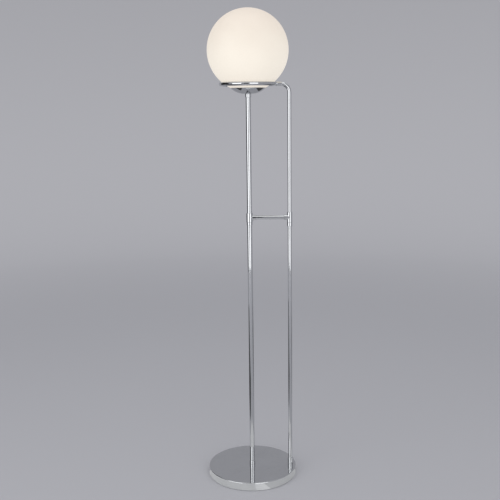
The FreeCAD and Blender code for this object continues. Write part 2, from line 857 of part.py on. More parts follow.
def bulb_body(inset):
    """Solid of the envelope's outer face, or of its inner face where inset is the wall."""
    head = bulb_radius - inset
    neck = bulb_cap_bore - fit_gap - inset
    neck_end = flat_point(neck, bulb_cap_top + bulb_neck_height)
    flare_end = polar_point(0, bulb_head_centre, head, -bulb_flare_angle)
    ease = (flare_end - neck_end).Length / 2
    flare = Part.BezierCurve()
    flare.setPoles(
        [
            neck_end,
            neck_end + Z_AXIS * ease,
            flare_end - polar_point(0, 0, ease, 90 - bulb_flare_angle),
            flare_end,
        ]
    )
    bottom = bulb_glass_bottom
    return turn(
        [
            Part.makeLine(flat_point(0, bottom), flat_point(neck, bottom)),
            Part.makeLine(flat_point(neck, bottom), neck_end),
            flare.toShape(),
            arc_edge(0, bulb_head_centre, head, -bulb_flare_angle, 90),
            Part.makeLine(flat_point(0, bulb_head_centre + head), flat_point(0, bottom)),
        ]
    )


def bulb_pieces():
    return {
        "bulb_cap": bulb_cap(),
        "bulb_insulator": bulb_insulator(),
        "bulb_tip": bulb_tip(),
        "bulb_glass": bulb_glass(),
    }


# ---------------------------------------------------------------- wiring inside the lamp
def inner_cable():
    """Flex from behind the inlet, along the base's channel, up the post and into the lamp holder."""
    start = grommet_back - cable_end_play
    slope_top = start - cable_slope_run
    points = [
        Vector(0, start, inlet_height),
        Vector(0, slope_top, inlet_height),
        Vector(0, slope_top - cable_slope_run, cable_low_height),
        Vector(0, 0, cable_low_height),
        Vector(0, 0, holder_neck_top + cable_top_play),
    ]
    radii = [cable_bend, cable_bend, cable_foot_bend]
    cable = swept(rounded_path(points, radii), cable_radius)
    length = cable.Volume / (math.pi * cable_radius**2)
    print("inner cable: length", round(length, 1), "mm, bend radii", radii)
    return cable


def holder_wires():
    """Two cores that leave the flex and reach the terminal screws."""
    start = holder_neck_top + cable_top_play
    end = core_bottom - terminal_head_height - fit_gap
    middle = (start + end) / 2
    wires = []
    for side in (-1, 1):
        near = side * (wire_radius + wire_gap)
        far = side * terminal_spread
        corners = [(near, start), (near, middle), (far, middle), (far, end)]
        points = [Vector(x, 0, z) for x, z in corners]
        wires.append(swept(rounded_path(points, [wire_bend, wire_bend]), wire_radius))
    return Part.makeCompound(wires)


def wiring():
    return {"inner_cable": inner_cable(), "holder_wires": holder_wires()}


# ---------------------------------------------------------------- write every piece
groups = [
    base_pieces, main_foot, side_foot, main_post, side_post, cross_joint, head_pieces, holder_pieces,
    bulb_pieces, wiring,
]
os.makedirs("parts", exist_ok=True)
for group in groups:
    for name, shape in group().items():
        if not shape.isValid() or shape.Volume <= 0:
            print("not a valid solid:", name)
        shape.exportStep(os.path.join("parts", name + ".step"))
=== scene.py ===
import math

import bmesh
import bpy
from mathutils import Matrix, Vector


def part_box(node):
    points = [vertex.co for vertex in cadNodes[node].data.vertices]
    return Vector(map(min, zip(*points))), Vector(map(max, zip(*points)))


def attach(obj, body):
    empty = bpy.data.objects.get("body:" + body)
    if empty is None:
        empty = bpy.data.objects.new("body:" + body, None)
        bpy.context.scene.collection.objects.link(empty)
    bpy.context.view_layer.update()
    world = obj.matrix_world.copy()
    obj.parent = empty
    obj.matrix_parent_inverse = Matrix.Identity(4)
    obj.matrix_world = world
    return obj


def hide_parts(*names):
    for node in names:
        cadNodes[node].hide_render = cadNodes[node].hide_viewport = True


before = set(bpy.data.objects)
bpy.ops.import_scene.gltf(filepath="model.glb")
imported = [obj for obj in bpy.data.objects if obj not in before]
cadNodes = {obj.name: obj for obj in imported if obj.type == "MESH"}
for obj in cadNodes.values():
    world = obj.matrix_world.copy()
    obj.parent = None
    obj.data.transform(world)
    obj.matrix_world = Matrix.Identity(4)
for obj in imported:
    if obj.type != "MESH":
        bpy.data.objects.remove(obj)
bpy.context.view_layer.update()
scene = bpy.context.scene
print("frame loaded:", len(cadNodes), "nodes")

# ---- camera, fitted to the photograph

cameraLook = {
    "place": (0.0, -2.504, 1.2105),
    "pitchDown": 10.32,  # degrees
    "roll": -0.676,
    "lens": 57.4,
    "sensor": 36.0,
}


def makeCamera(look):
    data = bpy.data.cameras.new("lampCamera")
    data.lens = look["lens"]
    data.sensor_width = look["sensor"]
    camera = bpy.data.objects.new("lampCamera", data)
    scene.collection.objects.link(camera)
    pitch = Matrix.Rotation(math.radians(90 - look["pitchDown"]), 3, "X")
    roll = Matrix.Rotation(math.radians(look["roll"]), 3, "Z")
    camera.rotation_euler = (pitch @ roll).to_euler()
    camera.location = look["place"]
    scene.camera = camera


makeCamera(cameraLook)
scene.view_settings.view_transform = "Standard"

# ---- mesh helpers: profiles are lists of (radius, height) in metres


def arcPoints(centreRadius, centreHeight, radius, start, end, steps):
    # angles in degrees, 0 is outward and 90 is up
    points = []
    for step in range(steps + 1):
        angle = math.radians(start + (end - start) * step / steps)
        points.append((centreRadius + radius * math.cos(angle), centreHeight + radius * math.sin(angle)))
    return points


def straightPoints(start, end, steps):
    # evenly spaced points of a straight stretch, without its last one
    (r0, z0), (r1, z1) = start, end
    return [(r0 + (r1 - r0) * s / steps, z0 + (z1 - z0) * s / steps) for s in range(steps)]


def roundedSleeve(bore, radius, bottom, top, edge, steps=5):
    # a short tube whose outer edges are rounded
    profile = [(bore, bottom)]
    profile += arcPoints(radius - edge, bottom + edge, edge, -90, 0, steps)
    profile += arcPoints(radius - edge, top - edge, edge, 0, 90, steps)
    profile += [(bore, top)]
    return profile


def finishMesh(name, vertices, faces, sharpAngle):
    mesh = bpy.data.meshes.new(name)
    mesh.from_pydata(vertices, [], faces)
    shape = bmesh.new()
    shape.from_mesh(mesh)
    bmesh.ops.remove_doubles(shape, verts=shape.verts, dist=1e-7)
    bmesh.ops.recalc_face_normals(shape, faces=shape.faces)
    markSharp(shape, sharpAngle)
    shape.to_mesh(mesh)
    shape.free()
    piece = bpy.data.objects.new(name, mesh)
    scene.collection.objects.link(piece)
    return piece


def markSharp(shape, sharpAngle):
    limit = math.radians(sharpAngle)
    for face in shape.faces:
        face.smooth = True
    for edge in shape.edges:
        edge.smooth = len(edge.link_faces) == 2 and edge.calc_face_angle(0) < limit


def lathe(name, profile, segments=96, at=(0.0, 0.0), relief=None, sharpAngle=32):
    # relief(angle, radius, height) may give a point another radius
    vertices, rings = [], []
    for radius, height in profile:
        count = segments if radius > 1e-7 else 1
        rings.append(list(range(len(vertices), len(vertices) + count)))
        for j in range(count):
            angle = 2 * math.pi * j / segments
            r = relief(angle, radius, height) if relief and count > 1 else radius
            vertices.append((at[0] + r * math.cos(angle), at[1] + r * math.sin(angle), height))
    onAxis = len(rings[0]) == 1 and len(rings[-1]) == 1
    pairs = list(zip(rings, rings[1:])) + ([] if onAxis else [(rings[-1], rings[0])])
    faces = []
    for lower, upper in pairs:
        for j in range(segments):
            k = (j + 1) % segments
            if len(lower) > 1 and len(upper) > 1:
                faces.append((lower[j], lower[k], upper[k], upper[j]))
            elif len(upper) > 1:
                faces.append((lower[0], upper[k], upper[j]))
            elif len(lower) > 1:
                faces.append((lower[j], lower[k], upper[0]))
    return finishMesh(name, vertices, faces, sharpAngle)


def sweepRings(path, radius, sides, closed=False):
    # rings of points round a path in the XZ plane or a level ring, with no twist
    rings = []
    count = len(path)
    side = None
    for i, point in enumerate(path):
        before = path[(i - 1) % count] if closed or i else point
        after = path[(i + 1) % count] if closed or i < count - 1 else point
        ahead = (after - before).normalized()
        if side is None:
            side = ahead.orthogonal().normalized()
        side = (side - ahead * side.dot(ahead)).normalized()
        other = ahead.cross(side)
        ring = []
        for j in range(sides):
            angle = 2 * math.pi * j / sides
            ring.append(point + (side * math.cos(angle) + other * math.sin(angle)) * radius)
        rings.append(ring)
    return rings


def ringFaces(first, count, sides, closed=False):
    faces = []
    for i in range(count if closed else count - 1):
        for j in range(sides):
            k = (j + 1) % sides
            a, b = first + i * sides, first + (i + 1) % count * sides
            faces.append((a + j, a + k, b + k, b + j))
    return faces


def applyModifiers(piece):
    graph = bpy.context.evaluated_depsgraph_get()
    mesh = bpy.data.meshes.new_from_object(piece.evaluated_get(graph))
    piece.modifiers.clear()
    piece.data = mesh


def cutAway(piece, cutter, sharpAngle=32):
    change = piece.modifiers.new("cut", "BOOLEAN")
    change.operation = "DIFFERENCE"
    change.solver = "EXACT"
    change.object = cutter
    applyModifiers(piece)
    bpy.data.objects.remove(cutter)
    shape = bmesh.new()
    shape.from_mesh(piece.data)
    markSharp(shape, sharpAngle)
    shape.to_mesh(piece.data)
    shape.free()


def layDown(piece, height, degrees, axis):
    # turns a piece made round Z onto its own axis, then lifts it
    turn = Matrix.Rotation(math.radians(degrees), 4, axis)
    piece.data.transform(Matrix.Translation((0, 0, height)) @ turn)
    return piece


# ---- node helpers


def addNode(tree, kind, values=None, **settings):
    node = tree.nodes.new(kind)
    for name, value in settings.items():
        setattr(node, name, value)
    for name, value in (values or {}).items():
        node.inputs[name].default_value = value
    return node


def join(tree, source, target):
    tree.links.new(source, target)


def mathNode(tree, operation, first, second=0.0, clamp=False):
    node = addNode(tree, "ShaderNodeMath", operation=operation, use_clamp=clamp)
    for socket, value in zip(node.inputs, (first, second)):
        if isinstance(value, (int, float)):
            socket.default_value = value
        else:
            join(tree, value, socket)
    return node.outputs[0]


def rangeNode(tree, value, fromLow, fromHigh, toLow=0.0, toHigh=1.0, kind="LINEAR"):
    node = addNode(tree, "ShaderNodeMapRange", interpolation_type=kind)
    join(tree, value, node.inputs["Value"])
    for name, number in zip(("From Min", "From Max", "To Min", "To Max"), (fromLow, fromHigh, toLow, toHigh)):
        if isinstance(number, (int, float)):
            node.inputs[name].default_value = number
        else:
            join(tree, number, node.inputs[name])
    return node.outputs["Result"]


def mixColour(tree, factor, first, second, blend="MIX"):
    node = addNode(tree, "ShaderNodeMix", data_type="RGBA", blend_type=blend)
    for socket, value in ((node.inputs[0], factor), (node.inputs[6], first), (node.inputs[7], second)):
        if isinstance(value, (int, float)):
            socket.default_value = value
        elif isinstance(value, tuple):
            socket.default_value = (*value, 1.0)[:4]
        else:
            join(tree, value, socket)
    return node.outputs[2]


def shaded(tree, colour, factor):
    # a colour made lighter or darker by one number
    grey = addNode(tree, "ShaderNodeCombineColor")
    for socket in grey.inputs:
        join(tree, factor, socket)
    return mixColour(tree, 1.0, colour, grey.outputs[0], "MULTIPLY")


def objectPoint(tree):
    return addNode(tree, "ShaderNodeTexCoord").outputs["Object"]


def axesOf(tree, vector):
    node = addNode(tree, "ShaderNodeSeparateXYZ")
    join(tree, vector, node.inputs[0])
    return node.outputs


def axisDistance(tree, axes):
    # distance from the main post's axis
    squares = [mathNode(tree, "POWER", axes[name], 2.0) for name in "XY"]
    return mathNode(tree, "SQRT", mathNode(tree, "ADD", *squares))


def scaledPoint(tree, scale):
    node = addNode(tree, "ShaderNodeMapping")
    join(tree, objectPoint(tree), node.inputs["Vector"])
    node.inputs["Scale"].default_value = scale
    return node.outputs["Vector"]


def noiseNode(tree, scale, detail=3.0, rough=0.55, point=None):
    node = addNode(tree, "ShaderNodeTexNoise", {"Detail": detail, "Roughness": rough})
    join(tree, point or objectPoint(tree), node.inputs["Vector"])
    if isinstance(scale, (int, float)):
        node.inputs["Scale"].default_value = scale
    else:
        join(tree, scale, node.inputs["Scale"])
    return node.outputs["Fac"]


def newGroup(name, inputs, outputs):
    tree = bpy.data.node_groups.new(name, "ShaderNodeTree")
    for label, kind, value in inputs:
        socket = tree.interface.new_socket(label, in_out="INPUT", socket_type="NodeSocket" + kind)
        socket.default_value = value
    for label, kind in outputs:
        tree.interface.new_socket(label, in_out="OUTPUT", socket_type="NodeSocket" + kind)
    entry = tree.nodes.new("NodeGroupInput")
    leave = tree.nodes.new("NodeGroupOutput")
    return tree, entry.outputs, leave.inputs


def useGroup(tree, group, **values):
    node = addNode(tree, "ShaderNodeGroup", node_tree=group)
    for label, value in values.items():
        socket = node.inputs[label]
        if isinstance(value, bpy.types.NodeSocket):
            join(tree, value, socket)
        elif isinstance(value, tuple):
            socket.default_value = (*value, 1.0)[:4]
        else:
            socket.default_value = value
    return node.outputs


# ---- effects that several finishes share


def makeHandling():
    # smudges, faint waves and hair scratches on plated or polished metal
    tree, given, made = newGroup(
        "handlingMarks",
        [("Clean", "Float", 0.05), ("Smudged", "Float", 0.2), ("Scale", "Float", 20.0),
         ("Amount", "Float", 0.5), ("Scratches", "Float", 0.3), ("Waves", "Float", 0.2)],
        [("Roughness", "Float"), ("Mask", "Float"), ("Height", "Float")],
    )
    broad = rangeNode(tree, noiseNode(tree, given["Scale"], 4.0, 0.6), 0.45, 0.75)
    fineScale = mathNode(tree, "MULTIPLY", given["Scale"], 11.0)
    grain = rangeNode(tree, noiseNode(tree, fineScale, 2.0), 0.35, 0.7)
    smudge = mathNode(tree, "MULTIPLY", broad, mathNode(tree, "ADD", grain, 0.35), clamp=True)
    mask = mathNode(tree, "MULTIPLY", smudge, given["Amount"], clamp=True)
    hair = noiseNode(tree, 900.0, 1.0, 0.4, scaledPoint(tree, (1.0, 1.0, 0.035)))
    hairMask = mathNode(tree, "MULTIPLY", rangeNode(tree, hair, 0.68, 0.74), given["Scratches"])
    join(tree, rangeNode(tree, mask, 0.0, 1.0, given["Clean"], given["Smudged"]), made["Roughness"])
    join(tree, mask, made["Mask"])
    wave = mathNode(tree, "MULTIPLY", noiseNode(tree, 26.0, 1.0, 0.4), given["Waves"])
    join(tree, mathNode(tree, "SUBTRACT", wave, mathNode(tree, "MULTIPLY", hairMask, 0.03)), made["Height"])
    return tree


def makeDust():
    # dust on what faces up
    tree, given, made = newGroup(
        "settledDust",
        [("Color", "Color", (0.5, 0.5, 0.5, 1.0)), ("Dust", "Color", (0.55, 0.54, 0.52, 1.0)),
         ("Roughness", "Float", 0.2), ("Amount", "Float", 0.1), ("Scale", "Float", 60.0)],
        [("Color", "Color"), ("Roughness", "Float")],
    )
    facing = axesOf(tree, addNode(tree, "ShaderNodeNewGeometry").outputs["Normal"])
    level = rangeNode(tree, facing["Z"], 0.55, 1.0)
    patch = rangeNode(tree, noiseNode(tree, given["Scale"], 5.0, 0.7), 0.42, 0.7, 0.25, 1.0)
    specks = rangeNode(tree, noiseNode(tree, 2400.0, 1.0), 0.66, 0.72, 0.5, 1.0)
    cover = mathNode(tree, "MULTIPLY", mathNode(tree, "MULTIPLY", level, patch), given["Amount"])
    cover = mathNode(tree, "MULTIPLY", cover, specks, clamp=True)
    join(tree, mixColour(tree, cover, given["Color"], given["Dust"]), made["Color"])
    join(tree, rangeNode(tree, cover, 0.0, 1.0, given["Roughness"], 0.85), made["Roughness"])
    return tree


def makeTurning():
    # fine rings left by a lathe or a spinning chuck, round the main post's axis
    tree, given, made = newGroup(
        "turningRings",
        [("Pitch", "Float", 4000.0)],
        [("Height", "Float"), ("Tone", "Float")],
    )
    axes = axesOf(tree, objectPoint(tree))
    along = mathNode(tree, "ADD", axisDistance(tree, axes), axes["Z"])
    line = addNode(tree, "ShaderNodeCombineXYZ")
    join(tree, mathNode(tree, "MULTIPLY", along, given["Pitch"]), line.inputs[0])
    rings = noiseNode(tree, 1.0, 2.0, 0.6, line.outputs[0])
    join(tree, rings, made["Height"])
    join(tree, rangeNode(tree, rings, 0.3, 0.7, 0.9, 1.06), made["Tone"])
    return tree


def makeGrain():
    # skin of cast, moulded or pressed things
    tree, given, made = newGroup(
        "fineGrain",
        [("Scale", "Float", 500.0), ("Color", "Color", (0.5, 0.5, 0.5, 1.0)), ("Spread", "Float", 0.1)],
        [("Color", "Color"), ("Height", "Float"), ("Mask", "Float")],
    )
    fine = noiseNode(tree, given["Scale"], 3.0, 0.6)
    broad = noiseNode(tree, mathNode(tree, "MULTIPLY", given["Scale"], 0.06), 3.0, 0.6)
    tone = mathNode(tree, "ADD", fine, mathNode(tree, "SUBTRACT", broad, 1.0))
    factor = mathNode(tree, "ADD", mathNode(tree, "MULTIPLY", tone, given["Spread"]), 1.0)
    join(tree, shaded(tree, given["Color"], factor), made["Color"])
    join(tree, fine, made["Height"])
    join(tree, rangeNode(tree, broad, 0.4, 0.65), made["Mask"])
    return tree


def makeGlow():
    # light that a lit glass gives off: strongest near its lamp, warmer away from it
    tree, given, made = newGroup(
        "glassGlow",
        [("Centre Height", "Float", 1.35), ("Reach", "Float", 0.15),
         ("Near", "Color", (1.0, 1.0, 1.0, 1.0)), ("Far", "Color", (0.8, 0.8, 0.8, 1.0))],
        [("Color", "Color")],
    )
    height = axesOf(tree, objectPoint(tree))["Z"]
    rise = mathNode(tree, "ABSOLUTE", mathNode(tree, "SUBTRACT", height, given["Centre Height"]))
    share = mathNode(tree, "DIVIDE", rise, given["Reach"])
    clouds = mathNode(tree, "MULTIPLY", mathNode(tree, "SUBTRACT", noiseNode(tree, 14.0, 2.0), 0.5), 0.22)
    away = rangeNode(tree, mathNode(tree, "ADD", share, clouds), 0.0, 1.0, kind="SMOOTHSTEP")
    join(tree, mixColour(tree, away, given["Near"], given["Far"]), made["Color"])
    return tree


handlingMarks = makeHandling()
settledDust = makeDust()
turningRings = makeTurning()
fineGrain = makeGrain()
glassGlow = makeGlow()
print("shared effects made")

# ---- finishes


def newMaterial(name, **values):
    material = bpy.data.materials.new(name)
    material.use_nodes = True
    tree = material.node_tree
    shader = tree.nodes["Principled BSDF"]
    for label, value in values.items():
        socket = shader.inputs[label.replace("_", " ")]
        socket.default_value = (*value, 1.0) if isinstance(value, tuple) and len(value) == 3 else value
    return material, tree, shader.inputs


def joinBump(tree, height, sockets, strength, distance):
    bump = addNode(tree, "ShaderNodeBump", {"Strength": strength, "Distance": distance})
    join(tree, height, bump.inputs["Height"])
    join(tree, bump.outputs["Normal"], sockets["Normal"])


def platedMetal(name, look):
    # bright plating over steel or brass
    material, tree, sockets = newMaterial(name, Metallic=1.0)
    marks = useGroup(
        tree, handlingMarks, Clean=look["clean"], Smudged=look["smudged"], Scale=look["scale"],
        Amount=look["amount"], Scratches=look["scratches"], Waves=look["waves"],
    )
    colour = mixColour(tree, marks["Mask"], look["colour"], look["smudge"])
    dust = useGroup(tree, settledDust, Color=colour, Roughness=marks["Roughness"], Amount=look["dust"])
    join(tree, dust["Color"], sockets["Base Color"])
    join(tree, dust["Roughness"], sockets["Roughness"])
    joinBump(tree, marks["Height"], sockets, look["bump"], 0.0004)
    return material


def turnedMetal(name, look):
    # turned or rolled metal with fine rings
    material, tree, sockets = newMaterial(name, Metallic=1.0)
    marks = useGroup(
        tree, handlingMarks, Clean=look["clean"], Smudged=look["smudged"], Scale=look["scale"], Amount=0.8,
        Scratches=0.5, Waves=0.1,
    )
    rings = useGroup(tree, turningRings, Pitch=look["pitch"])
    stained = mixColour(tree, marks["Mask"], look["colour"], look["smudge"])
    join(tree, shaded(tree, stained, rings["Tone"]), sockets["Base Color"])
    join(tree, marks["Roughness"], sockets["Roughness"])
    joinBump(tree, rings["Height"], sockets, look["bump"], 0.0001)
    return material


def grainySkin(name, look, **values):
    # plastics, rubbers, ceramics and castings
    material, tree, sockets = newMaterial(name, **values)
    grain = useGroup(tree, fineGrain, Scale=look["scale"], Color=look["colour"], Spread=look["spread"])
    rough = rangeNode(tree, grain["Mask"], 0.0, 1.0, *look["rough"])
    dust = useGroup(tree, settledDust, Color=grain["Color"], Roughness=rough, Amount=look["dust"])
    join(tree, dust["Color"], sockets["Base Color"])
    join(tree, dust["Roughness"], sockets["Roughness"])
    joinBump(tree, grain["Height"], sockets, look["bump"], look["depth"])
    return material


chromeLook = {
    "colour": (0.64, 0.65, 0.66), "smudge": (0.55, 0.56, 0.57), "clean": 0.035, "smudged": 0.16, "scale": 22.0,
    "amount": 0.5, "scratches": 0.2, "waves": 0.03, "dust": 0.05, "bump": 0.07,
}
baseChromeLook = dict(chromeLook, clean=0.02, smudged=0.11, scale=13.0, amount=0.5, waves=0.015, dust=0.10)
cupChromeLook = dict(chromeLook, clean=0.03, smudged=0.12, scale=30.0, waves=0.03, dust=0.06)
zincLook = {
    "colour": (0.56, 0.57, 0.56), "smudge": (0.42, 0.42, 0.40), "clean": 0.28, "smudged": 0.5, "scale": 90.0,
    "pitch": 5200.0, "bump": 0.3,
}
brassLook = {
    "colour": (0.70, 0.53, 0.24), "smudge": (0.50, 0.35, 0.15), "clean": 0.2, "smudged": 0.42, "scale": 120.0,
    "pitch": 6000.0, "bump": 0.3,
}
nickelLook = dict(brassLook, colour=(0.66, 0.61, 0.50), smudge=(0.48, 0.43, 0.33))
aluminiumLook = dict(zincLook, colour=(0.72, 0.72, 0.71), smudge=(0.55, 0.55, 0.54), clean=0.24, pitch=7000.0)
blackSteelLook = dict(zincLook, colour=(0.035, 0.036, 0.04), smudge=(0.09, 0.08, 0.075), clean=0.3)
solderLook = dict(zincLook, colour=(0.50, 0.50, 0.49), smudge=(0.33, 0.33, 0.32), clean=0.35, pitch=900.0)

castIronLook = {
    "colour": (0.035, 0.036, 0.038), "scale": 420.0, "spread": 0.9, "rough": (0.55, 0.8), "dust": 0.0,
    "bump": 0.8, "depth": 0.0006,
}
rubberLook = {
    "colour": (0.012, 0.012, 0.013), "scale": 1400.0, "spread": 0.6, "rough": (0.42, 0.62), "dust": 0.12,
    "bump": 0.35, "depth": 0.00012,
}
siliconeLook = dict(
    rubberLook, colour=(0.72, 0.71, 0.68), spread=0.08, rough=(0.3, 0.45), dust=0.05, scale=900.0
)
plasticLook = {
    "colour": (0.80, 0.79, 0.75), "scale": 1700.0, "spread": 0.05, "rough": (0.22, 0.36), "dust": 0.12,
    "bump": 0.2, "depth": 0.00006,
}
ceramicLook = {
    "colour": (0.82, 0.81, 0.77), "scale": 260.0, "spread": 0.08, "rough": (0.12, 0.3), "dust": 0.1,
    "bump": 0.25, "depth": 0.0001,
}
sheathLook = dict(plasticLook, colour=(0.70, 0.70, 0.68), rough=(0.4, 0.55), spread=0.1)
blackGlassLook = dict(ceramicLook, colour=(0.006, 0.006, 0.008), rough=(0.05, 0.15), spread=0.4)
feltLook = {
    "colour": (0.016, 0.016, 0.018), "scale": 1900.0, "spread": 1.2, "rough": (0.85, 0.98), "dust": 0.0,
    "bump": 0.9, "depth": 0.0005,
}
insulationLook = dict(plasticLook, rough=(0.35, 0.5), scale=2400.0)

opalLook = {
    "colour": (0.45, 0.41, 0.36), "cloud": (0.43, 0.39, 0.34), "near": (0.62, 0.58, 0.51),
    "far": (0.46, 0.40, 0.345), "centreHeight": 1.32, "reach": 0.19, "rough": (0.45, 0.52), "strength": 1.0,
    "specular": 0.3,
}
bulbLook = {
    "colour": (0.80, 0.77, 0.70), "cloud": (0.74, 0.72, 0.66), "near": (1.0, 0.94, 0.80),
    "far": (0.55, 0.50, 0.42), "centreHeight": 1.35, "reach": 0.06, "rough": (0.3, 0.38), "strength": 1.1,
    "specular": 0.4,
}


def litGlass(name, look):
    # satin glass with a lamp behind or in it
    material, tree, sockets = newMaterial(
        name, IOR=1.5, Emission_Strength=look["strength"], Specular_IOR_Level=look["specular"]
    )
    clouds = rangeNode(tree, noiseNode(tree, 9.0, 3.0, 0.5), 0.35, 0.65)
    body = mixColour(tree, clouds, look["colour"], look["cloud"])
    pits = noiseNode(tree, 1500.0, 2.0, 0.5)
    rough = rangeNode(tree, noiseNode(tree, 30.0, 3.0), 0.35, 0.65, *look["rough"])
    dust = useGroup(tree, settledDust, Color=body, Roughness=rough, Amount=0.06)
    join(tree, dust["Color"], sockets["Base Color"])
    join(tree, dust["Roughness"], sockets["Roughness"])
    height = {"Centre Height": look["centreHeight"]}
    glow = useGroup(tree, glassGlow, Reach=look["reach"], Near=look["near"], Far=look["far"], **height)
    join(tree, glow["Color"], sockets["Emission Color"])
    joinBump(tree, pits, sockets, 0.12, 0.00003)
    return material


def wireInsulation(name, look):
    # one core blue and one brown, told apart by the side that they are on
    material, tree, sockets = newMaterial(name)
    isRight = mathNode(tree, "GREATER_THAN", axesOf(tree, objectPoint(tree))["X"], 0.0)
    colour = mixColour(tree, isRight, (0.03, 0.12, 0.45), (0.16, 0.06, 0.025))
    grain = useGroup(tree, fineGrain, Scale=look["scale"], Color=colour, Spread=0.2)
    join(tree, grain["Color"], sockets["Base Color"])
    join(tree, rangeNode(tree, grain["Mask"], 0.0, 1.0, *look["rough"]), sockets["Roughness"])
    joinBump(tree, grain["Height"], sockets, 0.2, 0.00005)
    return material


finishes = {
    "chrome": platedMetal("chrome", chromeLook),
    "chrome_base": platedMetal("chromeBase", baseChromeLook),
    "chrome_cup": platedMetal("chromeCup", cupChromeLook),
    "cast_iron": grainySkin("castIron", castIronLook, Metallic=0.35),
    "zinc_steel": turnedMetal("zincSteel", zincLook),
    "black_steel": turnedMetal("blackSteel", blackSteelLook),
    "brass": turnedMetal("brass", brassLook),
    "nickel_brass": turnedMetal("nickelBrass", nickelLook),
    "felt": grainySkin("felt", feltLook, Sheen_Weight=0.35),
    "grommet_rubber": grainySkin("grommetRubber", rubberLook),
    "silicone": grainySkin("silicone", siliconeLook),
    "opal_glass": litGlass("opalGlass", opalLook),
    "frosted_glass": litGlass("frostedGlass", bulbLook),
    "holder_plastic": grainySkin("holderPlastic", plasticLook),
    "holder_ceramic": grainySkin("holderCeramic", ceramicLook, Coat_Weight=0.4),
    "bulb_aluminium": turnedMetal("bulbAluminium", aluminiumLook),
    "black_glass": grainySkin("blackGlass", blackGlassLook),
    "solder": turnedMetal("solder", solderLook),
    "cable_sheath": grainySkin("cableSheath", sheathLook),
    "wire_insulation": wireInsulation("wireInsulation", insulationLook),
}
print("finishes made:", len(finishes))


def dress(piece, body, slot, *replaced):
    # one call for what every piece needs
    piece.data.materials.clear()
    piece.data.materials.append(finishes[slot])
    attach(piece, body)
    if replaced:
        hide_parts(*replaced)


def settleNormals(piece):
    # big flat faces keep their own normals beside rounded edges
    change = piece.modifiers.new("normals", "WEIGHTED_NORMAL")
    change.keep_sharp = True
    change.weight = 100
    applyModifiers(piece)
    return piece


def turned(name, profile, **settings):
    return settleNormals(lathe(name, profile, **settings))


def turnedSolid(bore, radius, bottom, top, edge, steps=2):
    # an upright tube's profile with small rounded edges outside and inside
    profile = arcPoints(radius - edge, bottom + edge, edge, -90, 0, steps)
    profile += arcPoints(radius - edge, top - edge, edge, 0, 90, steps)
    profile += arcPoints(bore + edge, top - edge, edge, 90, 180, steps)
    profile += arcPoints(bore + edge, bottom + edge, edge, 180, 270, steps)
    return profile


def rodCutter(radius, bottom, top, at=(0.0, 0.0), segments=48):
    # a plain upright rod that is only used to cut
    return lathe("cutter", [(0, bottom), (radius, bottom), (radius, top), (0, top)], segments, at)


# ---- base

sidePlace = (0.127, 0.0)  # the side post's axis
baseLook = {
    "radius": 0.144, "wall": 0.0012, "bottom": 0.0008, "top": 0.027, "edge": 0.002, "lip": 0.0005,
    "innerEdge": 0.0008, "mainHole": 0.0052, "sideHole": 0.0032, "inletHole": 0.00545, "inletHeight": 0.011,
    "inletSpan": (0.12, 0.15), "overcut": 0.002, "segments": 256,
}


def makeBaseCover(look):
    outer, inner = look["radius"], look["radius"] - look["wall"]
    top, under, edge, lip = look["top"], look["top"] - look["wall"], look["edge"], look["lip"]
    innerEdge, over = look["innerEdge"], look["overcut"]
    profile = [(look["mainHole"], top)]
    profile += arcPoints(outer - edge, top - edge, edge, 90, 0, 8)
    profile += arcPoints(outer - lip, look["bottom"] + lip, lip, 0, -90, 4)
    profile += [(inner, look["bottom"])]
    profile += arcPoints(inner - innerEdge, under - innerEdge, innerEdge, 0, 90, 4)
    profile += [(look["mainHole"], under)]
    cover = lathe("baseCoverShell", profile, segments=look["segments"])
    cutAway(cover, rodCutter(look["sideHole"], under - over, top + over, sidePlace))
    inlet = rodCutter(look["inletHole"], *look["inletSpan"], segments=64)
    cutAway(cover, layDown(inlet, look["inletHeight"], -90, "X"))
    return settleNormals(cover)


dress(makeBaseCover(baseLook), "stand", "chrome_base", "base_cover")

feltLayout = {
    "radius": 0.1355, "thickness": 0.0025, "edge": 0.0006, "holes": 0.006, "circle": 0.095,
    "holesAt": (30, 150, 270), "fuzz": 0.00025, "overcut": 0.002,
}


def makeFelt(look):
    edge, thickness = look["edge"], look["thickness"]

    def fibres(angle, radius, height):
        # a cut edge that isn't quite even
        if radius < look["radius"] - 2 * edge:
            return radius
        return radius - look["fuzz"] * (1.5 + math.sin(47 * angle) + 0.5 * math.sin(113 * angle + 1.0)) / 3

    middle = look["radius"] * 0.5
    profile = [(0, 0), (middle, 0)] + arcPoints(look["radius"] - edge, edge, edge, -90, 0, 3)
    profile += arcPoints(look["radius"] - edge, thickness - edge, edge, 0, 90, 3)
    profile += [(middle, thickness), (0, thickness)]
    felt = lathe("feltSheet", profile, segments=240, relief=fibres)
    for degrees in look["holesAt"]:
        a = math.radians(degrees)
        spot = (look["circle"] * math.cos(a), look["circle"] * math.sin(a))
        cutAway(felt, rodCutter(look["holes"], -look["overcut"], thickness + look["overcut"], spot))
    return settleNormals(felt)


dress(makeFelt(feltLayout), "stand", "felt", "felt_pad")

grommetLook = {
    "bore": 0.0032, "neck": 0.0054, "flange": 0.0075, "flangeFace": 0.1455, "flangeBack": 0.144,
    "inner": 0.0066, "neckLength": 0.00138, "edge": 0.0006, "height": 0.011,
}


